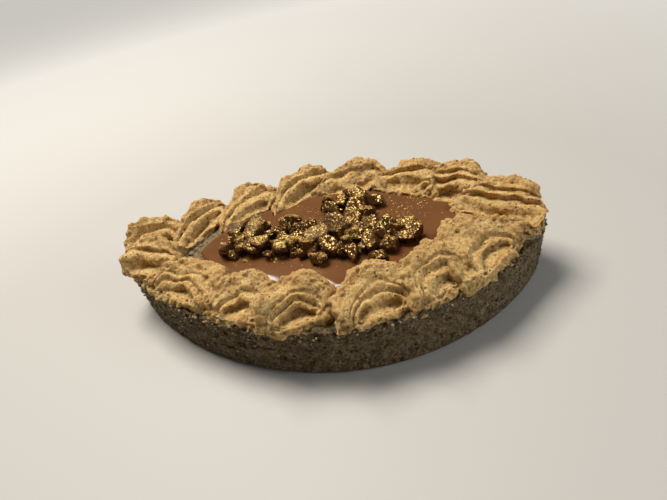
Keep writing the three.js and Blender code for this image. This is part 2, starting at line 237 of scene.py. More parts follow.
# The fields of noise: size of their lumps in millimetres, and seed
NOISES = {
    "wall_lump": (1.1, 3),
    "wall_crumb": (0.5, 4),
    "wall_swell": (2.8, 6),
    "wall_pit": (1.1, 8),
    "rim_edge": (1.8, 23),
    "bead_edge": (2.8, 17),
    "crease_gap": (3.4, 19),
    "drip": (2.2, 27),
    "drip_fine": (0.8, 43),
    "drip_coarse": (1.6, 44),
    "bend": (4.5, 91),
    "dough_swell": (2.4, 29),
    "dough_lump": (1.1, 31),
    "dough_crumb": (0.55, 47),
    "dough_pit": (0.9, 37),
    "toast_and_shade": (2.2, 53),
    "pool_swell": (9, 5),
    "chip_shift": (0.5, 61),
    "gold_dust": (1.8, 71),
}

# The relief of the dough in millimetres: everywhere, more on the domes, and more on the tongues
DOUGH_RELIEF = {
    "dough_swell": (0.2, 0.5, 0.3),
    "dough_lump": (0.15, 0.4, 0.5),
    "dough_crumb": (0.14, 0.14, 0.2),
}

# The lights, in metres and watts
LIGHTS = [
    {"name": "key", "place": (-0.14, 0.12, 0.41), "width": 0.22, "power": 3.0, "tint": (1.0, 0.95, 0.88)},
    {"name": "fill", "place": (0.4, -0.12, 0.2), "width": 0.3, "power": 0.9, "tint": (0.9, 0.96, 1.0)},
]


# Number helpers

def uneven(first, second):
    """A repeatable number between -1 and 1: the fraction of a large sine of two whole numbers."""
    wave = np.sin(np.asarray(first) * 12.9898 + np.asarray(second) * 78.233) * 43758.5453
    return 2 * (wave - np.floor(wave)) - 1


def smoothstep(value, low, high):
    """0 below low, 1 above high and a smooth cubic step between."""
    step = np.clip((value - low) / (high - low), 0, 1)
    return step * step * (3 - 2 * step)


def lattice(cell, seed):
    """A repeatable number between -1 and 1 for each whole-numbered cell of space."""
    mixed = cell[..., 0] * 73856093 ^ cell[..., 1] * 19349663 ^ cell[..., 2] * 83492791 ^ seed * 40503
    mixed = (mixed ^ (mixed >> 13)) * 1274126177 & 0xFFFFFFFF
    mixed = (mixed ^ (mixed >> 16)) * 668265263 & 0xFFFFFFFF
    return (mixed & 0xFFFFFF) / 0x7FFFFF - 1


def noise(points, field, more_seed=0):
    """Smooth noise between -1 and 1: random numbers on a lattice of the field's size, blended between."""
    grain, seed = NOISES[field]
    scaled = points / (grain * MM)
    cell = np.floor(scaled).astype(np.int64)
    part = scaled - cell
    part = part * part * (3 - 2 * part)
    total = np.zeros(points.shape[:-1])
    for corner in np.ndindex(2, 2, 2):
        corner = np.array(corner)
        weight = np.prod(np.where(corner == 1, part, 1 - part), axis=-1)
        total += weight * lattice(cell + corner, seed + more_seed)
    return total


def noise_vectors(points, field):
    """Smooth noise for each axis, with a seed of its own."""
    return np.stack([noise(points, field, axis) for axis in range(3)], -1)


# Mesh helpers

def grid_normals(grid):
    """Unit normals of a closed grid: the cross product of its steps round and its steps along."""
    round_step = np.roll(grid, -1, axis=1) - np.roll(grid, 1, axis=1)
    along_step = np.gradient(grid, axis=0)
    normal = np.cross(round_step, along_step)
    return normal / np.maximum(np.linalg.norm(normal, axis=-1, keepdims=True), 1e-12)


def closed_faces(rows, columns):
    """Triangles of a grid that closes round its columns, with a point before and after its rows."""
    here = 1 + np.arange(rows * columns).reshape(rows, columns)
    after = np.roll(here, -1, axis=1)
    start_cap = np.stack([0 * here[0], after[0], here[0]], -1)
    first = np.stack([here[:-1], after[:-1], after[1:]], -1)
    second = np.stack([here[:-1], after[1:], here[1:]], -1)
    end_cap = np.stack([0 * here[-1] + here.max() + 1, here[-1], after[-1]], -1)
    return np.concatenate([faces.reshape(-1, 3) for faces in (start_cap, first, second, end_cap)])


def sphere_angles(rows, columns):
    """Angles from the lower pole and round the axis, on a grid without the poles."""
    tilts = np.linspace(0, np.pi, rows + 2)[1:-1]
    spins = np.linspace(0, TURN, columns, endpoint=False)
    return np.meshgrid(tilts, spins, indexing="ij")


def add_mesh(name, points, triangles, material, attributes=None):
    """A smooth mesh object at the origin, with named numbers on its points."""
    mesh = bpy.data.meshes.new(name)
    mesh.vertices.add(len(points))
    mesh.vertices.foreach_set("co", np.ascontiguousarray(points, dtype=np.float32).ravel())
    mesh.loops.add(3 * len(triangles))
    mesh.loops.foreach_set("vertex_index", np.ascontiguousarray(triangles, dtype=np.int32).ravel())
    mesh.polygons.add(len(triangles))
    mesh.polygons.foreach_set("loop_start", np.arange(0, 3 * len(triangles), 3, dtype=np.int32))
    for label, values in (attributes or {}).items():
        layer = mesh.attributes.new(label, "FLOAT", "POINT")
        layer.data.foreach_set("value", np.ascontiguousarray(values, dtype=np.float32))
    mesh.update(calc_edges=True)
    mesh.shade_smooth()
    mesh.materials.append(material)
    piece = bpy.data.objects.new(name, mesh)
    bpy.context.scene.collection.objects.link(piece)
    return piece


def add_closed_grid(name, start, grid, end, material, attributes=None):
    """A closed surface over a grid with a point at each end. Attributes are grids of the same size."""
    points = np.concatenate([[start], grid.reshape(-1, 3), [end]])
    spread = {
        label: np.concatenate([[values[0].mean()], values.ravel(), [values[-1].mean()]])
        for label, values in (attributes or {}).items()
    }
    return add_mesh(name, points, closed_faces(*grid.shape[:2]), material, spread)


# Shader helpers

def fill(tree, node, inputs):
    """Sets a node's sockets to values, or links them to other sockets."""
    for label, value in inputs.items():
        if isinstance(value, bpy.types.NodeSocket):
            tree.links.new(value, node.inputs[label])
        else:
            node.inputs[label].default_value = value


def add_node(tree, kind, inputs=None, **settings):
    """A shader node with its settings, and its sockets set or linked."""
    node = tree.nodes.new(kind)
    for label, value in settings.items():
        setattr(node, label, value)
    fill(tree, node, inputs or {})
    return node


def new_material(name):
    """An empty node material with a Principled shader, and its tree."""
    material = bpy.data.materials.new(name)
    material.use_nodes = True
    tree = material.node_tree
    tree.nodes.clear()
    shader = tree.nodes.new("ShaderNodeBsdfPrincipled")
    output = tree.nodes.new("ShaderNodeOutputMaterial")
    tree.links.new(shader.outputs["BSDF"], output.inputs["Surface"])
    return material, tree, shader


def object_place(tree):
    """The Object coordinates."""
    return add_node(tree, "ShaderNodeTexCoord").outputs["Object"]


def attribute(tree, name):
    """The numbers that a mesh holds on its points under a name."""
    return add_node(tree, "ShaderNodeAttribute", attribute_name=name).outputs["Fac"]


def number_math(tree, operation, *values):
    """The result of one operation on numbers."""
    return add_node(tree, "ShaderNodeMath", dict(enumerate(values)), operation=operation).outputs[0]


def vector_math(tree, operation, *values):
    """The result of one operation on vectors."""
    return add_node(tree, "ShaderNodeVectorMath", dict(enumerate(values)), operation=operation).outputs[0]


def ramp(tree, value, low, high, first, last):
    """A value mapped from one range to another and held at the ends."""
    inputs = {"Value": value, "From Min": low, "From Max": high, "To Min": first, "To Max": last}
    return add_node(tree, "ShaderNodeMapRange", inputs, clamp=True).outputs["Result"]


def mix(tree, mask, first, second):
    """Two colours mixed by a mask."""
    return add_node(tree, "ShaderNodeMix", {0: mask, 6: first, 7: second}, data_type="RGBA").outputs[2]


def object_noise(tree, grain, detail=3.0, roughness=0.55):
    """Noise on Object coordinates with lumps of a size in metres."""
    inputs = {"Vector": object_place(tree), "Scale": 1 / grain, "Detail": detail, "Roughness": roughness}
    return add_node(tree, "ShaderNodeTexNoise", inputs).outputs["Fac"]


def object_cells(tree, spacing):
    """Voronoi cells on Object coordinates, with a spacing in metres."""
    inputs = {"Vector": object_place(tree), "Scale": 1 / spacing}
    return add_node(tree, "ShaderNodeTexVoronoi", inputs).outputs


def spots(tree, spacing, radius, chance):
    """A mask of round spots: near the middle of those Voronoi cells whose random colour is low."""
    cells = object_cells(tree, spacing)
    near = ramp(tree, cells["Distance"], 0.7 * radius / spacing, radius / spacing, 1, 0)
    split = add_node(tree, "ShaderNodeSeparateColor", {"Color": cells["Color"]})
    picked = number_math(tree, "LESS_THAN", split.outputs["Red"], chance)
    return number_math(tree, "MULTIPLY", near, picked)


def bumped(tree, height, strength, distance):
    """A normal that follows a height."""
    inputs = {"Height": height, "Strength": strength, "Distance": distance}
    return add_node(tree, "ShaderNodeBump", inputs).outputs["Normal"]


def rgba(values):
    """A colour property as four numbers."""
    return (values[0], values[1], values[2], 1.0)


# Materials

def dough_material(swirls):
    """Baked dough: golden and pale in patches, with a fine grain, reddish bits of nut and dark specks. An
    attribute gives it a brown colour: real browning on the domes, and painted shade in the creases and on
    the near side of the swirls. Light spreads a little under its skin."""
    material, tree, shader = new_material("baked_dough")
    patch = ramp(tree, object_noise(tree, 1.4 * MM), 0.38, 0.62, 0, 1)
    base = mix(tree, patch, rgba(swirls.colour), rgba(swirls.pale_colour))
    # Painted shade: besides the real browning of the domes, this mask darkens the creases and the near side
    # of the swirls
    browned_and_shaded = mix(tree, attribute(tree, "toast_and_shade"), base, rgba(swirls.toast_and_shade_colour))
    fine = ramp(tree, object_noise(tree, 0.4 * MM, 3.0, 0.7), 0.42, 0.64, 0, 0.7)
    grainy = mix(tree, fine, browned_and_shaded, rgba(swirls.toast_and_shade_colour))
    bits = ramp(tree, spots(tree, spacing=1.3 * MM, radius=0.42 * MM, chance=0.55), 0, 1, 0, 0.7)
    nutty = mix(tree, bits, grainy, rgba(swirls.nut_colour))
    large = spots(tree, spacing=1.2 * MM, radius=0.27 * MM, chance=0.4)
    small = spots(tree, spacing=0.6 * MM, radius=0.15 * MM, chance=0.4)
    specks = number_math(tree, "MAXIMUM", large, small)
    fill(tree, shader, {
        "Base Color": mix(tree, specks, nutty, rgba(swirls.speck_colour)),
        "Subsurface Weight": 0.6,
        "Subsurface Radius": (1.0, 0.7, 0.4),
        "Subsurface Scale": 1.1 * MM,
        "Roughness": 0.78,
        "Specular IOR Level": 0.3,
        "Normal": bumped(tree, object_noise(tree, 0.4 * MM, 4.0, 0.7), strength=0.9, distance=0.3 * MM),
    })
    return material


def pastry_material(case):
    """Baked nut pastry: brown with paler patches, with a fine dark grain, dark pores and small pale crumbs.
    The inner attribute makes the top of the rim and the floor of the well paler than the wall: partly
    their own paler tone, and partly painted light where they face up to the light."""
    material, tree, shader = new_material("nut_pastry")
    patch = ramp(tree, object_noise(tree, 2.2 * MM, 4.0, 0.65), 0.42, 0.66, 0, 0.8)
    wall = mix(tree, patch, rgba(case.colour), rgba(case.pale_colour))
    # Partly painted light: the top of the rim and the floor of the well are paler than the wall, partly by
    # their own tone and partly as light falling on them from above
    base = mix(tree, attribute(tree, "inner"), wall, rgba(case.pale_colour))
    grain = ramp(tree, object_noise(tree, 0.5 * MM, 2.0), 0.44, 0.64, 0, 0.8)
    grainy = mix(tree, grain, base, rgba(case.pore_colour))
    large = spots(tree, spacing=1.5 * MM, radius=0.42 * MM, chance=0.45)
    small = spots(tree, spacing=0.7 * MM, radius=0.2 * MM, chance=0.35)
    porous = mix(tree, number_math(tree, "MAXIMUM", large, small), grainy, rgba(case.pore_colour))
    crumbs = spots(tree, spacing=1.1 * MM, radius=0.2 * MM, chance=0.22)
    fill(tree, shader, {
        "Base Color": mix(tree, crumbs, porous, rgba(case.crumb_colour)),
        "Roughness": 0.9,
        "Specular IOR Level": 0.25,
        "Normal": bumped(tree, object_noise(tree, 0.6 * MM, 4.0, 0.65), strength=1.0, distance=0.55 * MM),
    })
    return material


def crumb_material(case):
    """Loose crumbs: pale, mottled with the paler tone of the pastry, and dull."""
    material, tree, shader = new_material("pale_crumbs")
    patch = ramp(tree, object_noise(tree, 0.9 * MM), 0.4, 0.65, 0, 1)
    fill(tree, shader, {
        "Base Color": mix(tree, patch, rgba(case.crumb_colour), rgba(case.pale_colour)),
        "Roughness": 0.9,
        "Specular IOR Level": 0.25,
    })
    return material


def chocolate_material(pool):
    """Smooth milk chocolate with a soft gloss and faint cloudy patches."""
    material, tree, shader = new_material("milk_chocolate")
    cloud = ramp(tree, object_noise(tree, 9 * MM), 0.3, 0.7, 0.88, 1.1)
    tint = {0: tuple(pool.colour), "Scale": cloud}
    fill(tree, shader, {
        "Base Color": add_node(tree, "ShaderNodeVectorMath", tint, operation="SCALE").outputs[0],
        "Roughness": 0.18,
        "Specular IOR Level": 0.42,
        "Normal": bumped(tree, object_noise(tree, 4 * MM, 1.0), strength=0.25, distance=0.4 * MM),
    })
    return material


def crunch_material(crunch):
    """Brown crunch under gold dust: in small cells whose random number is below the dust attribute, a rough
    metal lies over the brown, and each cell tilts its own way so that it glints."""
    material, tree, shader = new_material("gold_dusted_crunch")
    cells = object_cells(tree, crunch.dust_size)
    split = add_node(tree, "ShaderNodeSeparateColor", {"Color": cells["Color"]})
    spare = number_math(tree, "SUBTRACT", attribute(tree, "dust"), split.outputs["Red"])
    gold = ramp(tree, spare, -0.04, 0.04, 0, 1)
    tint = mix(tree, split.outputs["Green"], rgba(crunch.gold_colour), rgba(crunch.pale_gold_colour))
    tilt = vector_math(tree, "SUBTRACT", cells["Color"], (0.5, 0.5, 0.5))
    normal = add_node(tree, "ShaderNodeNewGeometry").outputs["Normal"]
    bent = vector_math(tree, "MULTIPLY_ADD", tilt, ramp(tree, gold, 0, 1, 0.1, 1.4), normal)
    fill(tree, shader, {
        "Base Color": mix(tree, gold, rgba(crunch.colour), tint),
        "Metallic": ramp(tree, gold, 0, 1, 0, 0.55),
        "Roughness": ramp(tree, gold, 0, 1, 0.46, 0.42),
        "Specular IOR Level": 0.22,
        "Specular Tint": (0.95, 0.72, 0.36, 1),
        "Normal": vector_math(tree, "NORMALIZE", bent),
    })
    return material


# Shapes

def outline(case, turns, inset, height):
    """Points of the boat outline: x goes with the cosine of the turn and y with a power of its sine, which
    grows a little towards +X. An inset shortens both half axes."""
    along = np.cos(turns)
    across = np.sign(np.sin(turns)) * np.abs(np.sin(turns)) ** case.side_power
    x = (case.half_length - case.tip_share * inset) * along
    y = (case.half_width - inset) * across * (1 + case.blunt_end * along)
    return np.stack([x, y, np.broadcast_to(height, x.shape)], -1)


def case_profile(case):
    """Insets and heights of the case from its base to its well: a quarter circle at the foot, a straight
    flaring wall, a level rim and one step down to the floor of the well."""
    foot = np.linspace(0, 0.5 * np.pi, FOOT_ROWS)
    wall = np.linspace(0, 1, WALL_ROWS)[1:]
    insets = np.concatenate([
        case.flare + case.foot_rounding * (1 - np.sin(foot)),
        case.flare * (1 - wall),
        np.linspace(0.4 * MM, case.well_inset - 1 * MM, RIM_ROWS),
        [case.well_inset],
    ])
    heights = np.concatenate([
        case.foot_rounding * (1 - np.cos(foot)),
        case.foot_rounding + (case.height - case.foot_rounding) * wall,
        np.full(RIM_ROWS, case.height),
        [case.well_floor],
    ])
    return insets, heights


def inside_rim(case, x, y, over):
    """Plan points drawn in to the rim where they lie more than a set length outside it, and how far. Noise
    makes the limit ragged, and it is wider at the -X tip."""
    start = x, y
    x = np.clip(x, -case.half_length - 4 * over, case.half_length - 4 * over)
    along = np.clip(x / case.half_length, -1, 1)
    limit = case.half_width * (1 - along ** 2) ** (0.5 * case.side_power) * (1 + case.blunt_end * along)
    ragged = noise(np.stack([x, np.sign(y) * MM, 0 * x], -1), "rim_edge")
    limit = limit + over * (1 + 1.5 * ragged + 5 * smoothstep(-along, 0.85, 1.0))
    y = np.clip(y, -limit, limit)
    return x, y, np.hypot(x - start[0], y - start[1])


def swirl_places(case, swirls):
    """Place and shape of each swirl: points at the uneven pitches along the ring, a far side away from the
    -Y side of the ring's own normal, and the numbers of SWIRL_SHAPES."""
    turns = np.linspace(0, TURN, RING_POINTS)
    lean = swirls.tip_lean * np.maximum(0, np.cos(turns - swirls.tip_lean_turn)) ** 12
    lean = lean + swirls.blunt_lean * np.maximum(0, np.cos(turns)) ** 12
    ring = outline(case, turns, swirls.ring_inset - lean, case.height)
    steps = np.linalg.norm(np.diff(ring, axis=0), axis=1)
    lengths = np.concatenate([[0], np.cumsum(steps)])
    shapes = dict(zip(SHAPE_COLUMNS, np.array(SWIRL_SHAPES).T))
    pitches = shapes["pitch"]
    starts = np.concatenate([[0], np.cumsum(pitches)[:-1]]) / pitches.sum()
    along = (swirls.ring_start + starts) * lengths[-1]
    slopes = np.gradient(ring, axis=0)
    tangents = np.stack([np.interp(along, lengths, slopes[:, axis]) for axis in range(2)], -1)
    tangents /= np.linalg.norm(tangents, axis=1, keepdims=True)
    outward = np.stack([tangents[:, 1], -tangents[:, 0]], -1)
    side = np.clip(-2 * outward[:, 1:], -1, 1)
    opening = outward * side + np.array([0, -swirls.forward_pull])
    mean_pitch = 0.5 * (pitches + np.roll(pitches, 1)) * lengths[-1] / pitches.sum()
    shapes["number"] = np.arange(len(pitches))
    shapes["middle"] = np.stack([np.interp(along, lengths, ring[:, axis]) for axis in range(3)], -1)
    shapes["far_turn"] = np.arctan2(-opening[:, 1], -opening[:, 0]) + shapes["turn"]
    shapes["half_width"] = 0.5 * swirls.overlap * mean_pitch
    shapes["height"] = swirls.height * shapes["rise"]
    shapes["deep"] = shapes["reach"] * (swirls.half_depth + swirls.hollow_offset)
    rows = zip(*shapes.values())
    return [SimpleNamespace(**dict(zip(shapes, row))) for row in rows]


def swirl_height(swirls, own, part, farness, shut, side):
    """Height of a swirl without its beads: a sine climbs from the hollow to the crest and an ellipse falls
    to the foot. The crest falls with a power of the farness, down to the tongue in front of the hollow,
    and straight lips fall off at their ends."""
    low = own.tongue * swirls.open_height
    crest = low + (own.height - low) * farness ** swirls.side_fall * shut
    climb = np.clip(part / swirls.crest_share, 0, 1)
    hollow = np.minimum(swirls.hollow_height, crest)
    slope = hollow + (crest - hollow) * np.sin(0.5 * np.pi * climb)
    fall = np.clip((part - swirls.crest_share) / (1 - swirls.crest_share), 0, 1)
    height = np.where(part < swirls.crest_share, slope, crest * np.sqrt(1 - 0.92 * fall ** 2))
    return height * (1 - 0.5 * own.straight * smoothstep(side, 0.4, 1.0))


def bead_phase(swirls, own, part, bend, arch, plan):
    """Count of beads from the hollow outwards: a power of the share from the hollow to the foot, which
    straight lips take straight across. It shifts over one turn like a spiral, and noise wobbles it."""
    level = part * (1 - own.straight * (1 - np.maximum(arch, 0)))
    past = (level - swirls.first_crease + swirls.spiral * bend / TURN) / own.span
    count = own.beads * np.sign(past) * np.abs(past) ** swirls.bead_power
    return count + 0.1 * uneven(own.number, 9) + 0.2 * noise(plan, "bead_edge")


def bead_wave(phase, beads):
    """Height of the piped beads between 0 in a crease and 1 on top: half a sine over a power of the
    phase, so that each bead is steeper in front. A power of the sine rounds the creases after the first.
    After the last nose the height stays at 1."""
    part = np.clip(phase, 0, beads) % 1.0
    wave = np.sin(np.pi * part ** 0.75) ** (1 + 0.9 * smoothstep(phase, 0.4, 1.0))
    past = (phase >= beads) | (phase >= beads - 1) & (part > 0.4)
    return np.where(phase <= 0, 0.0, np.where(past, 1.0, wave))


def bead_creases(own, phase, part, farness, shut, side, plan):
    """How far each point lies in a crease: 1 less the bead wave, faded out in the middle of the hollow, on
    the near side and at the ends of straight lips, and shallower in places by noise."""
    broken = 0.65 + 0.35 * smoothstep(noise(plan, "crease_gap"), -0.5, 0.2)
    ends = 1 - own.straight * smoothstep(side, 0.65, 0.95)
    fade = smoothstep(farness, 0.03, 0.3) * smoothstep(part, 0.0, 0.1) * shut * broken * ends
    return (1 - bead_wave(phase, own.beads)) * fade


def crease_cut(swirls, own, phase, crease, height):
    """How deep the creases cut, and the turn by which they lean into the dough. The first is the deepest
    and leans most, and straight lips keep more of both after it. A cut takes about four fifths of the
    height at most."""
    straight = own.straight
    first, second = np.clip(phase, 0, 1), np.clip(phase - 1, 0, 1)
    depth = swirls.bead_depth * (1.4 - (0.75 - 0.6 * straight) * first - 0.3 * second)
    lean = swirls.bead_lean * (1 - (0.9 - 0.7 * straight) * first)
    return np.minimum(depth * crease, 0.8 * height + 0.2 * MM), lean


def dough_relief(grid, dome, tongue):
    """Height of the rough skin of the dough: the sizes of noise in DOUGH_RELIEF, stronger on the domes and
    the tongues, and pits where one more field is high."""
    relief = -(0.12 + 0.25 * dome) * MM * smoothstep(noise(grid, "dough_pit"), 0.4, 0.75)
    for field, (even, on_dome, on_tongue) in DOUGH_RELIEF.items():
        relief = relief + (even + on_dome * dome + on_tongue * tongue) * MM * noise(grid, field)
    return relief


def swirl_grid(case, swirls, own):
    """One swirl on a grid of turns round its hollow and shares from the hollow to the foot. In plan the
    rows are half ovals, deep on the far side and shallow on the near side. A power of the cosine
    flattens the arches and a shear sets one end further in. The creases lean into the dough, so each
    arch overhangs the one in front. The dough is drawn in to the rim, where it sinks, and the last rows
    hang over it in drips. Noise bends the whole and roughens it. Returns the grid and a colour mask
    that holds real browning on the domes and painted shade in the creases and on the near side."""
    rows = np.concatenate([np.linspace(0.012, 1, SWIRL_ROWS), np.full(DRIP_ROWS, 1.0)])
    sink = np.concatenate([np.zeros(SWIRL_ROWS), np.linspace(0.1, 1, DRIP_ROWS)])[:, None]
    turns = np.linspace(-np.pi, np.pi, SWIRL_COLUMNS, endpoint=False)
    part, bend = np.meshgrid(rows, turns, indexing="ij")
    farness = 0.5 + 0.5 * np.cos(bend + own.tilt)
    shut = smoothstep(np.cos(bend), -0.6, 0.2)
    side = part * np.abs(np.sin(bend))
    arch = np.sign(np.cos(bend)) * np.abs(np.cos(bend)) ** own.flat
    height = swirl_height(swirls, own, part, farness, shut, side)

    shallow = own.tongue * swirls.near_share * (swirls.half_depth - swirls.hollow_offset)
    reach = part * np.where(np.cos(bend) > 0, own.deep, shallow)
    taper = swirls.taper + 0.2 * own.straight
    width = own.half_width * (1 - taper * smoothstep(np.cos(bend), 0, 1))
    spread = part ** swirls.end_power * width
    plan = np.stack([reach * np.cos(bend), spread * np.sin(bend), 0 * part + own.number * 10 * MM], -1)
    phase = bead_phase(swirls, own, part, bend, arch, plan)
    crease = bead_creases(own, phase, part, farness, shut, side, plan)
    cut, lean = crease_cut(swirls, own, phase, crease, height)

    back = cut * np.sin(lean)
    across = (spread + 0.5 * back) * np.sin(bend)
    along = (reach + back) * arch - swirls.hollow_offset - own.shear * across
    far = own.far_turn
    x = own.middle[0] + along * np.cos(far) - across * np.sin(far)
    y = own.middle[1] + along * np.sin(far) + across * np.cos(far)
    x, y, drawn = inside_rim(case, x, y, swirls.overhang)
    z = case.height + height - cut * np.cos(lean)
    z = np.maximum(z - swirls.slump * drawn, np.minimum(z, case.height + 0.4 * MM))
    drips = smoothstep(noise(np.stack([x, y, 0 * x], -1), "drip"), 0.0, 0.7)
    z = z + sink * (case.height - swirls.droop * (0.5 + 2.2 * drips) - z)
    grid = np.stack([x, y, z], -1)

    loose = smoothstep(height, 0, 3 * MM) * (1 - sink)
    grid = grid + 0.9 * MM * noise_vectors(grid, "bend") * loose[..., None]
    dome = smoothstep(part, 0.5, 0.66) * smoothstep(farness, 0.15, 0.6) * (1 - sink)
    relief = dough_relief(grid, dome, (1 - shut) * (1 - sink)) * smoothstep(part, 0.0, 0.06)
    fringe = 0.45 * drips + 0.25 * noise(grid, "drip_fine") + 0.2 * noise(grid, "drip_coarse")
    relief = relief + np.sin(np.pi * sink) * fringe * MM

    # The columns run so that the grid's own normals point inwards
    grid = grid - grid_normals(grid) * relief[..., None]
    blotch = 0.5 + 0.5 * noise(grid, "toast_and_shade")
    # The blotches on the domes are real browning. The crease term and the near-side term are painted shade,
    # which darkens the creases and the tongue in front of the hollow
    toast_and_shade = 0.03 + 0.7 * dome * blotch + 0.15 * crease + 0.2 * (1 - shut)
    return grid, np.clip(toast_and_shade, 0, 1)


def swirl_gap(swirls, places, plan):
    """Distance from points to the nearest foot of a swirl, about, and below 0 inside one: to half an oval
    on the far side of the hollow, along the line to the hollow."""
    nearest = np.full(plan.shape[:-1], 1.0)
    for own in places:
        far = own.far_turn
        away_x = plan[..., 0] - own.middle[0]
        away_y = plan[..., 1] - own.middle[1]
        along = away_x * np.cos(far) + away_y * np.sin(far) + swirls.hollow_offset
        across = away_y * np.cos(far) - away_x * np.sin(far)
        along = along + own.shear * across
        depth = np.where(along > 0, own.deep, 0.3 * MM)
        oval = np.hypot(along / depth, across / own.half_width)
        gap = np.hypot(along, across) * (1 - 1 / np.maximum(oval, 0.05))
        nearest = np.minimum(nearest, gap)
    return nearest


def pool_inset(pool, turns):
    """How far in the pool ends: further where the cosine of the turn from its shy side is high."""
    return pool.inset + pool.shy_inset * np.maximum(0, np.cos(turns - pool.shy_turn)) ** 2


def pool_height(case, swirls, pool, places, plan, edge):
    """Height of the chocolate: its level, rounded down as a quarter ellipse near its own edge and near
    the swirls, with a slight swell."""
    gap = np.minimum(edge, swirl_gap(swirls, places, plan) + 0.5 * MM)
    near = np.clip(gap / pool.margin, 0, 1)
    rounded = np.sqrt(1 - (1 - near) ** 2)
    level = np.stack([plan[..., 0], plan[..., 1], 0 * near], -1)
    swell = 0.25 * MM * noise(level, "pool_swell") * near
    return case.height + (pool.level - case.height) * rounded + swell


def settled(random, amount, lean):
    """Rotation matrices: a random spin about Z and then a lean, normally spread, about the X axis."""
    spin = random.uniform(0, TURN, amount)
    tip = random.normal(0, lean, amount)
    zero = np.zeros(amount)
    rows = [
        np.cos(spin), -np.sin(spin), zero,
        np.cos(tip) * np.sin(spin), np.cos(tip) * np.cos(spin), -np.sin(tip),
        np.sin(tip) * np.sin(spin), np.sin(tip) * np.cos(spin), np.cos(tip),
    ]
    return np.stack(rows, -1).reshape(-1, 3, 3)


def chips(places, sizes, rows, columns, seed, lean):
    """Angular chips: on a sphere grid, the reach in each direction is a high power mean of the distances
    to two level planes and a ring of five steep ones, so flat faces meet in sharp edges. Each chip is
    spun, leant and set in its place. Returns points and triangles."""
    sides, sharpness = 5, 60
    random = np.random.default_rng(seed)
    amount = len(sizes)
    tilts, spins = sphere_angles(rows, columns)
    ring = np.stack([np.sin(tilts) * np.cos(spins), np.sin(tilts) * np.sin(spins), -np.cos(tilts)], -1)
    ways = np.concatenate([[[0, 0, -1.0]], ring.reshape(-1, 3), [[0, 0, 1.0]]])
    about = TURN * (np.arange(sides) + random.uniform(-0.35, 0.35, (amount, sides))) / sides
    rise = random.normal(0, 0.35, (amount, sides))
    steep = np.stack([np.cos(about) * np.cos(rise), np.sin(about) * np.cos(rise), np.sin(rise)], -1)
    level = random.normal(0, 0.22, (amount, 2, 3))
    level[:, :, 2] = [1, -1]
    level /= np.linalg.norm(level, axis=-1, keepdims=True)
    planes = np.concatenate([steep, level], axis=1)
    steep_depths = random.uniform(0.6, 1.0, (amount, sides, 1))
    level_depths = random.uniform(0.42, 0.72, (amount, 2, 1))
    depths = np.concatenate([steep_depths, level_depths], axis=1)
    toward = np.maximum(np.einsum("pk,nfk->nfp", ways, planes) / depths, 1e-3)
    reach = np.minimum(np.sum(toward ** sharpness, axis=1) ** (-1 / sharpness), 1.3)
    points = ways[None] * reach[..., None] * (0.5 * sizes)[:, None, None]
    points = np.einsum("nij,npj->npi", settled(random, amount, lean), points) + places[:, None]
    shifted = closed_faces(rows, columns)[None] + (np.arange(amount) * len(ways))[:, None, None]
    return points.reshape(-1, 3), shifted.reshape(-1, 3)


def upness(points, triangles):
    """How far the surface faces up at each point: the mean of the normals of its triangles, along Z."""
    corners = points[triangles]
    normal = np.cross(corners[:, 1] - corners[:, 0], corners[:, 2] - corners[:, 0])
    total = np.zeros_like(points)
    np.add.at(total, triangles.ravel(), np.repeat(normal, 3, axis=0))
    return total[:, 2] / np.maximum(np.linalg.norm(total, axis=1), 1e-15)


# Operators

def hold(piece, slot, *nodes):
    """Rides a piece on the tartlet, and hides the solids that it stands for. The slot that names its finish
    is not used.
    """
    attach(piece, "root")
    if nodes:
        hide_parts(*nodes)


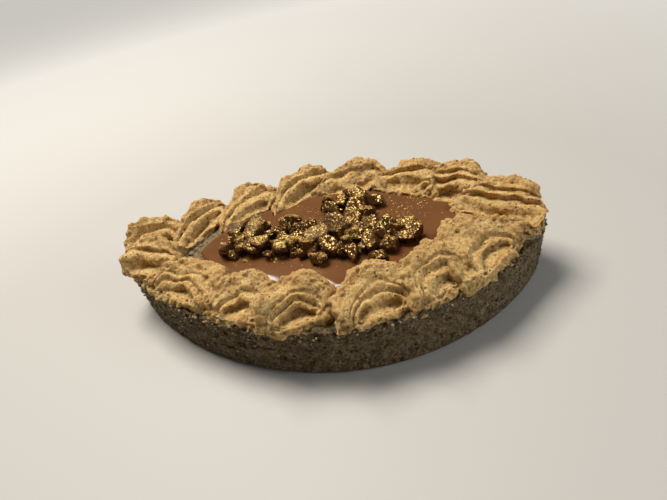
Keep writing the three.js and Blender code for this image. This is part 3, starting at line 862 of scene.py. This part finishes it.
class TARTLET_OT_stage(bpy.types.Operator):
    """Makes the camera, the pale floor, the soft lights and the sky"""
    bl_idname = "tartlet.stage"
    bl_label = "Stage"

    def execute(self, context):
        scene, stage = context.scene, context.scene.tartlet_stage
        self.add_camera(scene, stage)
        self.add_floor(stage)
        for light in LIGHTS:
            self.add_light(scene, **light)
        self.add_sky(scene, stage)
        scene.view_settings.view_transform = "Standard"
        return {"FINISHED"}

    def add_camera(self, scene, stage):
        """A camera that looks at its target and is rolled about its view."""
        place, target = Vector(stage.camera_place), Vector(stage.camera_target)
        back = (place - target).normalized()
        level = Vector((0, 0, 1)).cross(back).normalized()
        right = Matrix.Rotation(stage.camera_roll, 3, back) @ level
        turned_axes = Matrix((right, back.cross(right), back)).transposed().to_4x4()
        data = bpy.data.cameras.new("camera")
        data.lens = stage.camera_lens
        data.sensor_width = 36
        data.clip_start = 5 * MM
        camera = bpy.data.objects.new("camera", data)
        camera.matrix_world = Matrix.Translation(place) @ turned_axes
        scene.collection.objects.link(camera)
        scene.camera = camera

    def add_floor(self, stage):
        """A flat pale floor under the tartlet, which glows a little where the lights don't reach it."""
        half_side = 5
        material, tree, shader = new_material("pale_floor")
        away = add_node(tree, "ShaderNodeVectorMath", {0: object_place(tree)}, operation="LENGTH")
        fill(tree, shader, {
            "Base Color": rgba(stage.floor_colour),
            "Roughness": 0.6,
            "Emission Color": rgba(stage.floor_colour),
            "Emission Strength": ramp(tree, away.outputs["Value"], 0.1, 0.42, 0, 1.15),
        })
        corners = np.array([[-1, -1, 0], [1, -1, 0], [1, 1, 0], [-1, 1, 0]]) * half_side
        floor = add_mesh("floor", corners, np.array([[0, 1, 2], [0, 2, 3]]), material)

    def add_light(self, scene, name, place, width, power, tint):
        """A square soft light that points at the tartlet."""
        data = bpy.data.lights.new(name, "AREA")
        data.size = width
        data.energy = power
        data.color = tint
        light = bpy.data.objects.new(name, data)
        aim = (Vector((0, 0, 10 * MM)) - Vector(place)).to_track_quat("-Z", "Y")
        light.matrix_world = Matrix.Translation(place) @ aim.to_matrix().to_4x4()
        scene.collection.objects.link(light)

    def add_sky(self, scene, stage):
        """A warm pale sky, fainter as a light than it looks to the camera."""
        world = bpy.data.worlds.new("studio")
        world.use_nodes = True
        tree = world.node_tree
        seen = add_node(tree, "ShaderNodeLightPath").outputs["Is Camera Ray"]
        fill(tree, tree.nodes["Background"], {
            "Color": (1.0, 0.97, 0.93, 1),
            "Strength": ramp(tree, seen, 0, 1, stage.sky_light, stage.sky_seen),
        })
        scene.world = world


class TARTLET_OT_case(bpy.types.Operator):
    """Makes the pastry case with its crumbly wall, rim and well"""
    bl_idname = "tartlet.case"
    bl_label = "Pastry case"

    def execute(self, context):
        case = context.scene.tartlet_case
        turns = np.linspace(0, TURN, CASE_COLUMNS, endpoint=False)
        insets, heights = case_profile(case)
        grid = outline(case, turns[None, :], insets[:, None], heights[:, None])
        normal = grid_normals(grid)
        relief = 0.7 * noise(grid, "wall_lump") + 0.6 * noise(grid, "wall_crumb")
        relief = relief + 0.5 * noise(grid, "wall_swell")
        pits = -1.8 * smoothstep(noise(grid, "wall_pit"), 0.4, 0.75)

        # The crumb fades out at the base and the well and is deepest at the edge of the rim
        free = smoothstep(heights, 0.1 * MM, 1.2 * MM)
        free[-1] = 0
        from_edge = np.maximum(insets - case.flare, 0) + case.height - heights
        ragged = (1 + 2.2 * np.exp(-(from_edge / (1.2 * MM)) ** 2)) * free
        grid = grid + normal * (case.crumb * (relief + pits) * ragged[:, None])[..., None]
        start, end = np.array([0, 0, 0.0]), np.array([0, 0, case.well_floor])
        # The paler top and floor are partly their own tone and partly painted light
        inner = np.broadcast_to(smoothstep(insets, 2 * MM, 5 * MM)[:, None], grid.shape[:2])
        piece = add_closed_grid("baked_case", start, grid, end, pastry_material(case), {"inner": inner})
        hold(piece, "pastry", "pastry_case")
        return {"FINISHED"}


class TARTLET_OT_swirls(bpy.types.Operator):
    """Makes the piped and baked swirls of the border"""
    bl_idname = "tartlet.swirls"
    bl_label = "Swirls"

    def execute(self, context):
        case, swirls = context.scene.tartlet_case, context.scene.tartlet_swirls
        material = dough_material(swirls)
        for order, own in enumerate(swirl_places(case, swirls), start=1):
            # The colour mask of each swirl holds real browning and painted shade
            grid, toast_and_shade = swirl_grid(case, swirls, own)
            start = grid[0].mean(axis=0)
            end = own.middle - np.array([0, 0, swirls.droop])
            name = f"piped_swirl_{order:02d}"
            piece = add_closed_grid(name, start, grid[:, ::-1], end, material, {"toast_and_shade": toast_and_shade[:, ::-1]})
            hold(piece, "dough", f"swirl_{order:02d}")
        return {"FINISHED"}


class TARTLET_OT_chocolate(bpy.types.Operator):
    """Makes the glossy chocolate pool"""
    bl_idname = "tartlet.chocolate"
    bl_label = "Chocolate"

    def execute(self, context):
        case, swirls = context.scene.tartlet_case, context.scene.tartlet_swirls
        pool = context.scene.tartlet_pool
        places = swirl_places(case, swirls)
        turns = np.linspace(0, TURN, POOL_COLUMNS, endpoint=False)
        inset = pool_inset(pool, turns)

        # The rows lie close together at the margin, and stop short of the long axis
        margin_rows = np.linspace(0, 1, POOL_MARGIN_ROWS) ** 1.6 * 6 * MM
        rows = np.concatenate([margin_rows, np.linspace(6.6, 30, POOL_ROWS) * MM])
        limit = case.half_width - inset - 0.4 * MM
        steps = np.minimum(rows[:, None], limit[None, :] * (rows / rows[-1])[:, None] ** 0.9)
        top = outline(case, turns[None, :], inset[None, :] + steps, case.height)
        top[..., 2] = pool_height(case, swirls, pool, places, top, steps)
        plug = [
            outline(case, turns, case.well_inset + 0.3 * MM, case.well_floor),
            outline(case, turns, case.well_inset - 0.7 * MM, case.height),
            outline(case, turns, inset + 0.2 * MM, case.height),
        ]
        grid = np.concatenate([np.stack(plug), top])
        start, end = np.array([0, 0, case.well_floor]), grid[-1].mean(axis=0)
        piece = add_closed_grid("chocolate_pool", start, grid, end, chocolate_material(pool))
        hold(piece, "chocolate", "chocolate")
        return {"FINISHED"}


class TARTLET_OT_crunch(bpy.types.Operator):
    """Makes the gold-dusted crunch pieces and the low core under them"""
    bl_idname = "tartlet.crunch"
    bl_label = "Crunch"

    def execute(self, context):
        pool, crunch = context.scene.tartlet_pool, context.scene.tartlet_crunch
        material = crunch_material(crunch)
        meshes = [self.layer(pool, crunch, order, **each) for order, each in enumerate(CRUNCH_LAYERS)]
        starts = np.cumsum([0] + [len(points) for points, _ in meshes])
        points = np.concatenate([points for points, _ in meshes])
        triangles = np.concatenate([faces + start for (_, faces), start in zip(meshes, starts)])
        points = points + 0.06 * MM * noise_vectors(points, "chip_shift")
        up = upness(points, triangles)
        dust = 0.02 + 0.45 * smoothstep(up, 0.3, 0.95) + 0.5 * noise(points, "gold_dust")
        piece = add_mesh("crunch_pieces", points, triangles, material, {"dust": dust})
        piece.data.shade_flat()
        hold(piece, "crunch", "crunch_heap")
        self.add_core(pool, material)
        return {"FINISHED"}

    def layer(self, pool, crunch, order, times, mean, rows, columns):
        """Chips of one mean size, spread over the mounds by the golden angle."""
        middles, sizes = [], []
        for place, mound in enumerate(MOUNDS):
            pieces = times * mound["pieces"]
            each = np.arange(pieces)
            number = 100 * place + 1000 * order + each
            reach = np.sqrt((each + 0.5) / pieces) + 0.06 * uneven(number, 7)
            way = GOLDEN_TURN * each + 0.3 * uneven(number, 8)
            x = (mound["x"] + mound["half_length"] * reach * np.cos(way)) * MM
            y = (mound["y"] + mound["half_width"] * reach * np.sin(way)) * MM
            rise = mound["height"] * MM * np.sqrt(np.maximum(0, 1 - reach ** 2))
            lift = 0.22 * crunch.piece_size * (mean - 0.35)
            middles.append(np.stack([x, y, pool.level + rise + lift], -1))
            sizes.append(mean * crunch.piece_size * (1 + crunch.piece_spread * uneven(number, 4)))
        middles, sizes = np.concatenate(middles), np.concatenate(sizes)
        return chips(middles, sizes, rows, columns, seed=21 + order, lean=0.6)

    def add_core(self, pool, material):
        """Low domes under the pieces, each a squashed sphere grid."""
        tilts, spins = sphere_angles(CORE_ROWS, CORE_COLUMNS)
        for order, mound in enumerate(MOUNDS, start=1):
            x = (mound["x"] + 0.85 * mound["half_length"] * np.sin(tilts) * np.cos(spins)) * MM
            y = (mound["y"] + 0.85 * mound["half_width"] * np.sin(tilts) * np.sin(spins)) * MM
            z = pool.level - 0.6 * MM - np.cos(tilts) * mound["height"] * MM
            start = np.array([mound["x"] * MM, mound["y"] * MM, z.min()])
            end = start + np.array([0, 0, np.ptp(z)])
            grid = np.stack([x, y, z], -1)
            core = add_closed_grid(f"crunch_core_{order}", start, grid, end, material, {"dust": 0 * x})
            hold(core, "crunch")


class TARTLET_OT_flecks(bpy.types.Operator):
    """Scatters gold flecks over the chocolate"""
    bl_idname = "tartlet.flecks"
    bl_label = "Gold flecks"

    def execute(self, context):
        scene = context.scene
        case, swirls = scene.tartlet_case, scene.tartlet_swirls
        pool, crunch = scene.tartlet_pool, scene.tartlet_crunch
        places = swirl_places(case, swirls)
        random = np.random.default_rng(seed=5)
        clouds = [random.normal(middle, spread, size=(count, 2)) for middle, spread, count in FLECK_CLOUDS]
        plan = np.concatenate(clouds) * MM
        clear_of_swirls, far_from_edge = 2.5 * MM, 1.0
        plan = plan[swirl_gap(swirls, places, plan) > clear_of_swirls]
        sizes = random.uniform(0.2, 0.75, size=len(plan)) ** 1.5 * MM
        middles = np.column_stack([plan, pool_height(case, swirls, pool, places, plan, far_from_edge)])
        points, triangles = chips(middles, sizes, rows=2, columns=5, seed=33, lean=0.4)
        golden = {"dust": np.ones(len(points))}
        piece = add_mesh("gold_flecks", points, triangles, crunch_material(crunch), golden)
        hold(piece, "crunch")
        return {"FINISHED"}


class TARTLET_OT_crumbs(bpy.types.Operator):
    """Scatters loose pale crumbs along the rim and over the bare floor of the case"""
    bl_idname = "tartlet.crumbs"
    bl_label = "Loose crumbs"

    def execute(self, context):
        case = context.scene.tartlet_case
        around, near_tip, bare = 260, 240, 260
        tip_turn, tip_spread = 3.9, 0.35
        bare_middle, bare_spread = (-28, 4), (7, 5)
        random = np.random.default_rng(seed=8)
        turns = [random.uniform(0, TURN, around), random.normal(tip_turn, tip_spread, near_tip)]
        turns = np.concatenate(turns)
        below = np.concatenate(
            [random.exponential(1.2 * MM, around), random.exponential(2.4 * MM, near_tip)])
        wall = outline(case, turns, -0.1 * MM, case.height - np.minimum(below, 9 * MM))
        plan = random.normal(bare_middle, bare_spread, size=(bare, 2)) * MM
        inner = np.column_stack([plan, np.full(bare, case.height)])
        middles = np.concatenate([wall, inner])
        sizes = random.uniform(0.3, 0.92, size=len(middles)) ** 1.8 * MM
        points, triangles = chips(middles, sizes, rows=2, columns=5, seed=41, lean=1.5)
        piece = add_mesh("loose_crumbs", points, triangles, crumb_material(case))
        hold(piece, "pastry")
        return {"FINISHED"}


class TARTLET_PT_panel(bpy.types.Panel):
    """Lists the pieces of the tartlet and their settings"""
    bl_idname = "TARTLET_PT_panel"
    bl_label = "Tartlet"
    bl_space_type = "VIEW_3D"
    bl_region_type = "UI"
    bl_category = "Tartlet"

    def draw(self, context):
        for operator in OPERATORS:
            self.layout.operator(operator.bl_idname)
        for label, group in GROUPS.items():
            box = self.layout.box()
            for setting in group.__annotations__:
                box.prop(getattr(context.scene, label), setting)


GROUPS = {
    "tartlet_case": TartletCase,
    "tartlet_swirls": TartletSwirls,
    "tartlet_pool": TartletPool,
    "tartlet_crunch": TartletCrunch,
    "tartlet_stage": TartletStage,
}
OPERATORS = [
    TARTLET_OT_stage,
    TARTLET_OT_case,
    TARTLET_OT_swirls,
    TARTLET_OT_chocolate,
    TARTLET_OT_crunch,
    TARTLET_OT_flecks,
    TARTLET_OT_crumbs,
]


def register():
    """Registers the classes and hangs the settings on the scene."""
    for each in [*GROUPS.values(), *OPERATORS, TARTLET_PT_panel]:
        bpy.utils.register_class(each)
    for label, group in GROUPS.items():
        setattr(bpy.types.Scene, label, bpy.props.PointerProperty(type=group))


def unregister():
    """Takes the settings and the classes away again."""
    for label in GROUPS:
        delattr(bpy.types.Scene, label)
    for each in reversed([*GROUPS.values(), *OPERATORS, TARTLET_PT_panel]):
        bpy.utils.unregister_class(each)


def main():
    """Builds the tartlet on its stage."""
    register()
    for operator in OPERATORS:
        group, name = operator.bl_idname.split(".")
        getattr(getattr(bpy.ops, group), name)()


if __name__ == "__main__":
    main()
